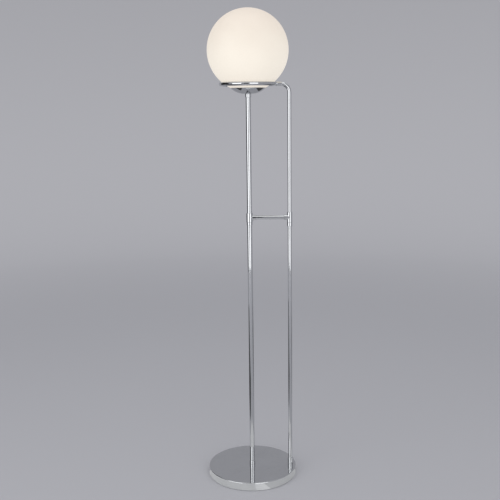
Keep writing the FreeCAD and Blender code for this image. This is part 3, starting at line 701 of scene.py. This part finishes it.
def makeGrommet(look):
    back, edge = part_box("cable_grommet")[0].y, look["edge"]
    seat = look["flangeBack"] - look["neckLength"]
    profile = [(look["bore"] + edge, back)] + arcPoints(look["inner"] - edge, back + edge, edge, -90, 0, 4)
    profile += [(look["inner"], seat), (look["neck"], seat), (look["neck"], look["flangeBack"])]
    profile += [(look["flange"], look["flangeBack"])]
    profile += arcPoints(look["flange"] - edge, look["flangeFace"] - edge, edge, 0, 90, 5)
    profile += arcPoints(look["bore"] + edge, look["flangeFace"] - edge, edge, 90, 180, 5)
    profile += arcPoints(look["bore"] + edge, back + edge, edge, 180, 260, 4)
    return layDown(turned("inletBush", profile, segments=80), look["height"], -90, "X")


dress(makeGrommet(grommetLook), "stand", "grommet_rubber", "cable_grommet")
print("base made")

# ---- posts

postLook = {"radius": 0.008, "bore": 0.0068, "edge": 0.0002, "segments": 96}
sideLook = {"radius": 0.00635, "bore": 0.00535, "edge": 0.0002, "segments": 80, "at": sidePlace}
heights = {"floor": 0.027, "mainJoint": 0.8445, "sideJoint": 0.8425, "head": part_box("main_post_upper")[1].z}


def makeStraightPost(name, look, bottom, top):
    profile = turnedSolid(look["bore"], look["radius"], bottom, top, look["edge"])
    return turned(name, profile, segments=look["segments"], at=look.get("at", (0.0, 0.0)))


for name, look, bottom, top, node in (
    ("mainPostLowerTube", postLook, heights["floor"], heights["mainJoint"], "main_post_lower"),
    ("mainPostUpperTube", postLook, heights["mainJoint"], heights["head"], "main_post_upper"),
    ("sidePostLowerTube", sideLook, heights["floor"], heights["sideJoint"], "side_post_lower"),
):
    dress(makeStraightPost(name, look, bottom, top), "stand", "chrome", node)

sleeveLook = {
    "mainFootFerruleRing": {"node": "main_foot_ferrule", "bore": 0.00805, "radius": 0.00925, "edge": 0.0005},
    "headFerruleRing": {"node": "head_ferrule", "bore": 0.00805, "radius": 0.00925, "edge": 0.0005},
    "mainCollarRing": {"node": "main_joint_collar", "bore": 0.00805, "radius": 0.00945, "edge": 0.0006},
    "sideFootSleeveTube": {"node": "side_foot_sleeve", "bore": 0.0064, "radius": 0.0084, "edge": 0.0006},
    "sideCollarRing": {"node": "side_joint_collar", "bore": 0.0064, "radius": 0.0084, "edge": 0.0006},
}
for name, look in sleeveLook.items():
    low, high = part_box(look["node"])
    centre = sidePlace if low.x > 0.05 else (0.0, 0.0)
    profile = roundedSleeve(look["bore"], look["radius"], low.z, high.z, look["edge"])
    dress(turned(name, profile, segments=96, at=centre), "stand", "chrome", look["node"])

ringLook = {"radius": 0.084, "tube": 0.00635, "bore": 0.00535, "height": 1.27363, "around": 256, "sides": 48}
armLook = {
    "bend": 0.027, "at": sidePlace[0], "bendSteps": 28, "stops": (0.95, 1.05, 1.15), "beyondBend": 0.0025,
    "sides": 64, "gap": 0.00005, "braze": 0.00075, "brazeOut": 0.0002, "brazeSides": 12,
}


def closedTube(name, path, radius, sides):
    rings = sweepRings(path, radius, sides, True)
    vertices = [p for ring in rings for p in ring]
    return finishMesh(name, vertices, ringFaces(0, len(rings), sides, True), 60)


def levelCircle(look):
    points = []
    for step in range(look["around"]):
        a = 2 * math.pi * step / look["around"]
        points.append(Vector((look["radius"] * math.cos(a), look["radius"] * math.sin(a), look["height"])))
    return points


def makeRing(look):
    return closedTube("globeRingTube", levelCircle(look), look["tube"], look["sides"])


def copeReach(ring, radius, up):
    # how far out the ring's surface is at a height above its middle, on a line across the arm
    side = math.sqrt(max(radius * radius - up * up, 0.0))
    return math.sqrt((ring["radius"] + math.sqrt(max(ring["tube"] ** 2 - up * up, 0.0))) ** 2 - side * side)


def makeBentPost(look, side, ring):
    bend, x, top = look["bend"], look["at"], ring["height"]
    path = [Vector((x, 0, z)) for z in (heights["sideJoint"], *look["stops"], top - bend)]
    for step in range(1, look["bendSteps"] + 1):
        a = math.pi / 2 * step / look["bendSteps"]
        path.append(Vector((x - bend + bend * math.cos(a), 0, top - bend + bend * math.sin(a))))
    path.append(Vector((x - bend - look["beyondBend"], 0, top)))
    vertices, faces = [], []
    for radius in (side["radius"], side["bore"]):
        rings = sweepRings(path, radius, look["sides"])
        coped = []
        for point in rings[-1]:
            reach = copeReach(ring, radius, point.z - top) + look["gap"]
            coped.append(Vector((reach, point.y, point.z)))
        rings.append(coped)
        first = len(vertices)
        vertices += [p for each in rings for p in each]
        faces += ringFaces(first, len(rings), look["sides"])
    inner, last = len(vertices) // 2, len(path) * look["sides"]
    for j in range(look["sides"]):
        k = (j + 1) % look["sides"]
        faces.append((j, k, inner + k, inner + j))
        faces.append((last + j, last + k, inner + last + k, inner + last + j))
    return settleNormals(finishMesh("sidePostUpperTube", vertices, faces, 40))


def makeBraze(look, side, ring):
    # the fillet of filler metal round the arm's end
    path = []
    for step in range(look["sides"]):
        a = 2 * math.pi * step / look["sides"]
        y, up = side["radius"] * math.cos(a), side["radius"] * math.sin(a)
        reach = copeReach(ring, side["radius"], up)
        path.append(Vector((reach + look["brazeOut"], y, ring["height"] + up)))
    return closedTube("armBrazeFillet", path, look["braze"], look["brazeSides"])


dress(makeRing(ringLook), "stand", "chrome", "globe_ring")
dress(makeBentPost(armLook, sideLook, ringLook), "stand", "chrome", "side_post_upper")
dress(makeBraze(armLook, sideLook, ringLook), "stand", "chrome")

barLook = {"radius": 0.00635, "bore": 0.00535, "start": 0.011, "end": 0.11805, "height": 0.859, "edge": 0.0002}


def makeBar(look):
    profile = turnedSolid(look["bore"], look["radius"], look["start"], look["end"], look["edge"])
    return layDown(turned("crossBarTube", profile, segments=80), look["height"], 90, "Y")


dress(makeBar(barLook), "stand", "chrome", "cross_bar")
print("posts, ring and arm made")

# ---- cup and glass

cupLook = {
    "radius": 0.055, "seat": 0.011, "bottom": 1.24334, "top": 1.26184, "wall": 0.0012, "hole": 0.0052,
    "curve": 0.06157, "steps": 40, "segments": 192,
}


def makeCup(look):
    seat, curve, wall = look["seat"], look["curve"], look["wall"]
    centreHeight = look["bottom"] + curve
    rimAngle = math.degrees(math.asin((look["top"] - wall / 2 - centreHeight) / curve))
    outer = arcPoints(seat, centreHeight, curve, -90, rimAngle, look["steps"])
    inner = arcPoints(seat, centreHeight, curve - wall, rimAngle, -90, look["steps"])
    (r0, z0), (r1, z1) = outer[-1], inner[0]
    middle = ((r0 + r1) / 2, (z0 + z1) / 2)
    across = math.degrees(math.atan2(z0 - middle[1], r0 - middle[0]))
    rim = arcPoints(middle[0], middle[1], wall / 2, across, across + 180, 8)[1:-1]
    profile = [(look["hole"], look["bottom"])] + outer + rim + inner + [(look["hole"], look["bottom"] + wall)]
    return turned("galleryCupShell", profile, segments=look["segments"])


dress(makeCup(cupLook), "stand", "chrome_cup", "gallery_cup")

gasketLook = {
    "inner": 0.0425, "outer": 0.0475, "edge": 0.0003, "groove": 0.0002, "play": 0.00005, "glassRadius": 0.1253,
    "glassHeight": 1.375,
}


def makeGasket(look, cup):
    # lies on the cup's curve, with a sloping top under the glass
    curve, centreHeight = cup["curve"] - cup["wall"], cup["bottom"] + cup["curve"]
    width, underSteps, overSteps = look["outer"] - look["inner"], 6, 8
    under, over = [], []
    for step in range(underSteps + 1):
        radius = look["inner"] + width * step / underSteps
        under.append((radius, centreHeight - math.sqrt(curve**2 - (radius - cup["seat"]) ** 2) + look["play"]))
    for step in range(overSteps + 1):
        radius = look["outer"] - width * step / overSteps
        rest = look["glassHeight"] - math.sqrt(look["glassRadius"] ** 2 - radius**2)
        over.append((radius, rest - (look["groove"] if step in (2, 6) else 0.0)))
    over[0] = (over[0][0], over[0][1] - look["edge"])
    over[-1] = (over[-1][0], over[-1][1] - look["edge"])
    return turned("shadeGasketRing", under + over, segments=160)


dress(makeGasket(gasketLook, cupLook), "stand", "silicone", "shade_gasket")

globeLook = {
    "radius": 0.125, "wall": 0.003, "mouth": 0.042, "lip": 0.0012, "height": 1.375, "steps": 110,
    "segments": 256,
}


def makeGlobe(look):
    outer, inner, centre = look["radius"], look["radius"] - look["wall"], look["height"]
    mouth, lip = look["mouth"], look["lip"]
    # the lip's two roundings touch the mouth's edge and a sphere each
    outerLip = (mouth + lip, centre - math.sqrt((outer - lip) ** 2 - (mouth + lip) ** 2))
    innerLip = (mouth + lip, centre - math.sqrt((inner + lip) ** 2 - (mouth + lip) ** 2))
    outerAngle = math.degrees(math.atan2(outerLip[1] - centre, outerLip[0]))
    innerAngle = math.degrees(math.atan2(innerLip[1] - centre, innerLip[0]))
    profile = arcPoints(0.0, centre, outer, 90, outerAngle, look["steps"])
    profile[0] = (0.0, centre + outer)
    profile += arcPoints(*outerLip, lip, outerAngle, -180, 8)[1:]
    profile += arcPoints(*innerLip, lip, -180, innerAngle - 180, 8)
    profile += arcPoints(0.0, centre, inner, innerAngle, 90, look["steps"])[1:]
    profile[-1] = (0.0, centre + inner)
    return lathe("globeShadeGlass", profile, segments=look["segments"], sharpAngle=60)


dress(makeGlobe(globeLook), "globe", "opal_glass", "globe_shade")
print("cup and globe made")

# ---- lamp holder and bulb

holderLook = {
    "skirt": 0.020, "bore": 0.018, "bottom": 1.26384, "top": 1.30384, "lip": 0.01595, "coreTop": 1.29894,
    "rim": 0.001, "ribs": 36, "ribDepth": 0.0006, "ribEase": 0.0015, "plainBelow": 0.005, "plainAbove": 0.012,
    "segments": 216,
}


def makeSkirt(look):
    ribLow, ribHigh = look["bottom"] + look["plainBelow"], look["top"] - look["plainAbove"]
    easeLength = look["ribEase"]

    def ribs(angle, radius, height):
        if radius < look["skirt"] - 1e-6 or not ribLow < height < ribHigh:
            return radius
        ease = min(1.0, (height - ribLow) / easeLength, (ribHigh - height) / easeLength)
        return radius - look["ribDepth"] * ease * (0.5 - 0.5 * math.cos(look["ribs"] * angle)) ** 0.7

    rim = look["rim"]
    profile = [(look["bore"], look["bottom"])]
    profile += arcPoints(look["skirt"] - rim, look["bottom"] + rim, rim, -90, 0, 4)
    profile += straightPoints((look["skirt"], ribLow - 0.0002), (look["skirt"], ribHigh + 0.0002), 46)
    profile += arcPoints(look["skirt"] - rim, look["top"] - rim, rim, 0, 90, 5)
    profile += arcPoints(look["lip"] + rim / 2, look["top"] - rim / 2, rim / 2, 90, 180, 4)
    profile += [(look["lip"], look["coreTop"]), (look["bore"], look["coreTop"])]
    return turned("holderSkirtShell", profile, segments=look["segments"], relief=ribs)


dress(makeSkirt(holderLook), "stand", "holder_plastic", "holder_skirt")

capLook = {
    "bore": 0.00505, "neck": 0.0075, "neckEdge": 0.0005, "neckHeight": 0.004, "radius": 0.01795, "wall": 0.002,
    "floor": 0.009, "corner": 0.0015, "slopeIn": 0.0025, "slopeDown": 0.0006, "neckTop": 0.007,
}


def makeHolderCap(look):
    low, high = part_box("holder_cap")
    floor, edge, corner = low.z + look["floor"], look["neckEdge"], look["corner"]
    outer, inner = look["radius"], look["radius"] - look["wall"]
    profile = [(look["bore"], low.z)] + arcPoints(look["neck"] - edge, low.z + edge, edge, -90, 0, 3)
    profile += [(look["neck"], low.z + look["neckHeight"]), (outer - look["slopeIn"], floor - look["slopeDown"])]
    profile += arcPoints(outer - corner, floor + corner, corner, -50, 0, 5)
    profile += [(outer, high.z), (inner, high.z), (inner, floor + corner)]
    profile += [(look["bore"], low.z + look["neckTop"])]
    return turned("holderCapBell", profile, segments=128)


dress(makeHolderCap(capLook), "stand", "holder_plastic", "holder_cap")

threadLook = {
    "pitch": 0.0036, "ease": 0.001, "capRoot": 0.0123, "capCrest": 0.0131, "capBore": 0.0120, "capEdge": 0.0002,
    "capPlain": (0.0022, 0.0018), "shell": 0.01395, "shellWall": 0.0003, "shellDepth": 0.00035,
    "shellPlain": (0.002, 0.0015),
}


def threadWave(look, angle, height, start, end):
    # from 0 at the root to 1 at the crest, fading out at both ends
    ease = min(1.0, max(0.0, (height - start) / look["ease"]), max(0.0, (end - height) / look["ease"]))
    return ease * (0.5 + 0.5 * math.cos(2 * math.pi * (height / look["pitch"] - angle / (2 * math.pi))))


def makeBulbCap(look):
    low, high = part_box("bulb_cap")
    start, end = low.z + look["capPlain"][0], high.z - look["capPlain"][1]
    root, bore, edge = look["capRoot"], look["capBore"], look["capEdge"]

    def thread(angle, radius, height):
        if radius < root - 1e-6:
            return radius
        return radius + (look["capCrest"] - root) * threadWave(look, angle, height, start, end)

    profile = [(bore, low.z), (root - edge / 2, low.z), (root, low.z + edge)]
    profile += straightPoints((root, start), (root, end), 72) + [(root, end), (root, high.z), (bore, high.z)]
    return turned("bulbScrewCap", profile, segments=96, relief=thread, sharpAngle=50)


dress(makeBulbCap(threadLook), "bulb", "bulb_aluminium", "bulb_cap")


def makeScrewShell(look):
    low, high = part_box("holder_screw_shell")
    start, end = low.z + look["shellPlain"][0], high.z - look["shellPlain"][1]
    outer, inner, steps = look["shell"], look["shell"] - look["shellWall"], 84

    def thread(angle, radius, height):
        return radius - look["shellDepth"] * threadWave(look, angle, height, start, end)

    profile = straightPoints((outer, low.z), (outer, high.z), steps) + [(outer, high.z)]
    profile += straightPoints((inner, high.z), (inner, low.z), steps) + [(inner, low.z)]
    return turned("holderScrewSleeve", profile, segments=96, relief=thread, sharpAngle=50)


dress(makeScrewShell(threadLook), "stand", "nickel_brass", "holder_screw_shell")

envelopeLook = {
    "radius": 0.030, "wall": 0.0008, "neck": 0.01195, "flare": 35.0, "neckTop": 1.30514, "centre": 1.34674,
    "neckSteps": 24, "headSteps": 48,
}


def makeEnvelope(look):
    def face(inset):
        head, neck = look["radius"] - inset, look["neck"] - inset
        a = math.radians(-look["flare"])
        end = Vector((head * math.cos(a), look["centre"] + head * math.sin(a)))
        start = Vector((neck, look["neckTop"]))
        ease = (end - start).length / 2
        tangent = Vector((math.sin(-a), math.cos(a)))
        poles = (start, start + Vector((0, ease)), end - tangent * ease, end)
        points = [(neck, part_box("bulb_glass")[0].z + inset)]
        for step in range(look["neckSteps"] + 1):
            t = step / look["neckSteps"]
            weights = ((1 - t) ** 3, 3 * t * (1 - t) ** 2, 3 * t * t * (1 - t), t**3)
            spot = sum((p * w for p, w in zip(poles, weights)), Vector((0, 0)))
            points.append((spot.x, spot.y))
        points += arcPoints(0.0, look["centre"], head, -look["flare"], 90, look["headSteps"])[1:]
        points[-1] = (0.0, look["centre"] + head)
        return points

    outer, inner = face(0.0), face(look["wall"])
    profile = outer[::-1] + [(0.0, outer[0][1])]
    shell = lathe("bulbEnvelope", profile, segments=128, sharpAngle=50)
    hollow = lathe("bulbEnvelopeHollow", inner[::-1] + [(0.0, inner[0][1])], segments=96, sharpAngle=50)
    return shell, hollow


def joinHollow(shell, hollow):
    # the inner face goes into the same mesh, turned inside out
    shape = bmesh.new()
    shape.from_mesh(hollow.data)
    bmesh.ops.reverse_faces(shape, faces=shape.faces)
    shape.to_mesh(hollow.data)
    shape.free()
    shape = bmesh.new()
    shape.from_mesh(shell.data)
    shape.from_mesh(hollow.data)
    shape.to_mesh(shell.data)
    shape.free()
    bpy.data.objects.remove(hollow)
    return shell


dress(joinHollow(*makeEnvelope(envelopeLook)), "bulb", "frosted_glass", "bulb_glass")
print("lamp holder and bulb made")

# ---- CAD pieces that keep their mesh

keptSlots = {
    "chrome": ("main_tee", "side_tee"),
    "cast_iron": ("base_weight",),
    "zinc_steel": (
        "bottom_plate", "bottom_screws", "main_foot_nipple", "main_foot_washer", "main_foot_nut",
        "side_foot_stud", "side_foot_washer", "side_foot_nut", "main_joint_nipple", "side_joint_stud",
        "head_nipple", "cup_washer",
    ),
    "black_steel": ("tee_grub_screws",),
    "brass": (
        "main_foot_plug", "side_foot_plug", "main_joint_plug_lower", "main_joint_plug_upper",
        "side_joint_plug_lower", "side_joint_plug_upper", "head_plug", "cup_nut", "holder_contact",
        "holder_terminals",
    ),
    "holder_ceramic": ("holder_core",),
    "black_glass": ("bulb_insulator",),
    "solder": ("bulb_tip",),
    "cable_sheath": ("inner_cable",),
    "wire_insulation": ("holder_wires",),
}
for slot, names in keptSlots.items():
    for name in names:
        cadNodes[name].data.materials.clear()
        cadNodes[name].data.materials.append(finishes[slot])
print("kept pieces finished")

# ---- floor, backdrop and lights

studioLook = {
    "radius": 6.0, "cove": 2.2, "wallTop": 7.0, "near": 1.6, "floor": (0.50, 0.50, 0.525),
    "wall": (0.25, 0.25, 0.26), "floorGlow": (0.06, 0.06, 0.063), "wallGlow": (0.3102, 0.3102, 0.33),
    "topGlow": 0.82,
}


def studioMaterial(look):
    # pale paper whose far wall gives light too, a little less towards its top
    material, tree, sockets = newMaterial("studioPaper", Roughness=0.85, Specular_IOR_Level=0.0)
    axes = axesOf(tree, objectPoint(tree))
    far = rangeNode(tree, axisDistance(tree, axes), look["near"], look["radius"], kind="SMOOTHSTEP")
    fibres = rangeNode(tree, noiseNode(tree, 300.0, 3.0), 0.3, 0.7, 0.985, 1.0)
    join(tree, shaded(tree, mixColour(tree, far, look["floor"], look["wall"]), fibres), sockets["Base Color"])
    join(tree, mixColour(tree, far, look["floorGlow"], look["wallGlow"]), sockets["Emission Color"])
    fade = rangeNode(tree, axes["Z"], 0.0, look["cove"], 1.0, look["topGlow"])
    join(tree, fade, sockets["Emission Strength"])
    return material


def makeStudio(look):
    profile = [(0.0, 0.0), (1.0, 0.0), (2.5, 0.0)]
    profile += arcPoints(look["radius"] - look["cove"], look["cove"], look["cove"], -90, 0, 24)
    profile += [(look["radius"], look["wallTop"])]
    vertices, faces, segments = [(0.0, 0.0, 0.0)], [], 128
    for radius, height in profile[1:]:
        for j in range(segments):
            a = 2 * math.pi * j / segments
            vertices.append((radius * math.cos(a), radius * math.sin(a), height))
    for j in range(segments):
        k = (j + 1) % segments
        faces.append((0, 1 + j, 1 + k))
        for i in range(len(profile) - 2):
            a, b = 1 + i * segments, 1 + (i + 1) * segments
            faces.append((a + j, b + j, b + k, a + k))
    mesh = bpy.data.meshes.new("studio")
    mesh.from_pydata(vertices, [], faces)
    mesh.materials.append(studioMaterial(look))
    for face in mesh.polygons:
        face.use_smooth = True
    studio = bpy.data.objects.new("studio", mesh)
    scene.collection.objects.link(studio)


makeStudio(studioLook)


def makeWorld(colour, strength):
    world = bpy.data.worlds.new("studioAir")
    world.use_nodes = True
    air = world.node_tree.nodes["Background"]
    air.inputs["Color"].default_value = (*colour, 1.0)
    air.inputs["Strength"].default_value = strength
    scene.world = world


makeWorld((0.95, 0.97, 1.0), 0.62)


def aim(thing, spot, target):
    thing.location = spot
    thing.rotation_euler = (Vector(target) - Vector(spot)).to_track_quat("-Z", "Y").to_euler()


def roundPlace(azimuth, distance, height):
    # azimuth in degrees from the lamp's front, positive to the right
    a = math.radians(azimuth)
    return (distance * math.sin(a), -distance * math.cos(a), height)


def softLight(name, azimuth, distance, height, size, radiance, target=None):
    # radiance is the brightness that its face shows in a mirror
    data = bpy.data.lights.new(name, "AREA")
    data.shape = "RECTANGLE"
    data.size, data.size_y = size
    data.energy = radiance * 4 * size[0] * size[1]
    lamp = bpy.data.objects.new(name, data)
    scene.collection.objects.link(lamp)
    aim(lamp, roundPlace(azimuth, distance, height), target or (0.0, 0.0, height))
    lamp.visible_camera = False


def reflectedOnly(name, corners, tone, glow=0.0):
    # a flag or a bounce card that only shows in reflections: a painted reflection, dark or glowing, that the
    # camera, diffuse light and shadows don't see
    mesh = bpy.data.meshes.new(name)
    mesh.from_pydata(corners, [], [(0, 1, 2, 3)])
    card = bpy.data.objects.new(name, mesh)
    scene.collection.objects.link(card)
    paint = {"Base_Color": (tone, tone, tone), "Emission_Color": (1.0, 1.0, 1.0), "Emission_Strength": glow}
    card.data.materials.append(newMaterial(name, Roughness=0.9, **paint)[0])
    card.visible_camera = False
    card.visible_diffuse = False
    card.visible_shadow = False
    return card


def darkCard(name, azimuth, distance, height, size, tone):
    w, h = size[0] / 2, size[1] / 2
    card = reflectedOnly(name, [(-w, -h, 0), (w, -h, 0), (w, h, 0), (-w, h, 0)], tone)
    aim(card, roundPlace(azimuth, distance, height), (0.0, 0.0, height))


def floorCard(name, acrossX, acrossY, tone, glow=0.0):
    (x0, x1), (y0, y1), z = acrossX, acrossY, 0.002
    reflectedOnly(name, [(x0, y0, z), (x1, y0, z), (x1, y1, z), (x0, y1, z)], tone, glow)


softLight("leftSoftbox", -45.0, 3.2, 1.27, (2.2, 2.5), 1.25)
softLight("rightSoftbox", 23.0, 3.2, 1.27, (1.9, 2.5), 1.2)
softLight("overheadSoftbox", 0.0, 0.6, 3.6, (2.6, 2.6), 0.55, target=(0.0, 0.0, 0.0))
darkCard("leftFlag", -106.0, 2.3, 1.5, (2.1, 2.6), 0.02)
darkCard("cameraFlag", -7.0, 2.9, 1.55, (0.9, 2.5), 0.05)
# dark sheets on the floor: painted dark patches in the cup's and base's chrome
floorCard("leftFloor", (-2.2, -0.44), (-0.8, 0.75), 0.08)
floorCard("rightFloor", (0.6, 1.7), (0.35, 1.9), 0.10)
# glowing sheets in front of the base: painted bright reflections in the base's chrome wall, brightest in the
# middle patch
floorCard("frontFloorLeft", (-0.30, 0.012), (-0.40, 0.0), 0.6, 0.23)
floorCard("frontFloorPatch", (0.012, 0.06), (-0.40, 0.0), 0.6, 0.40)
floorCard("frontFloorRight", (0.06, 0.30), (-0.40, 0.0), 0.6, 0.18)
print("stage and lights made")
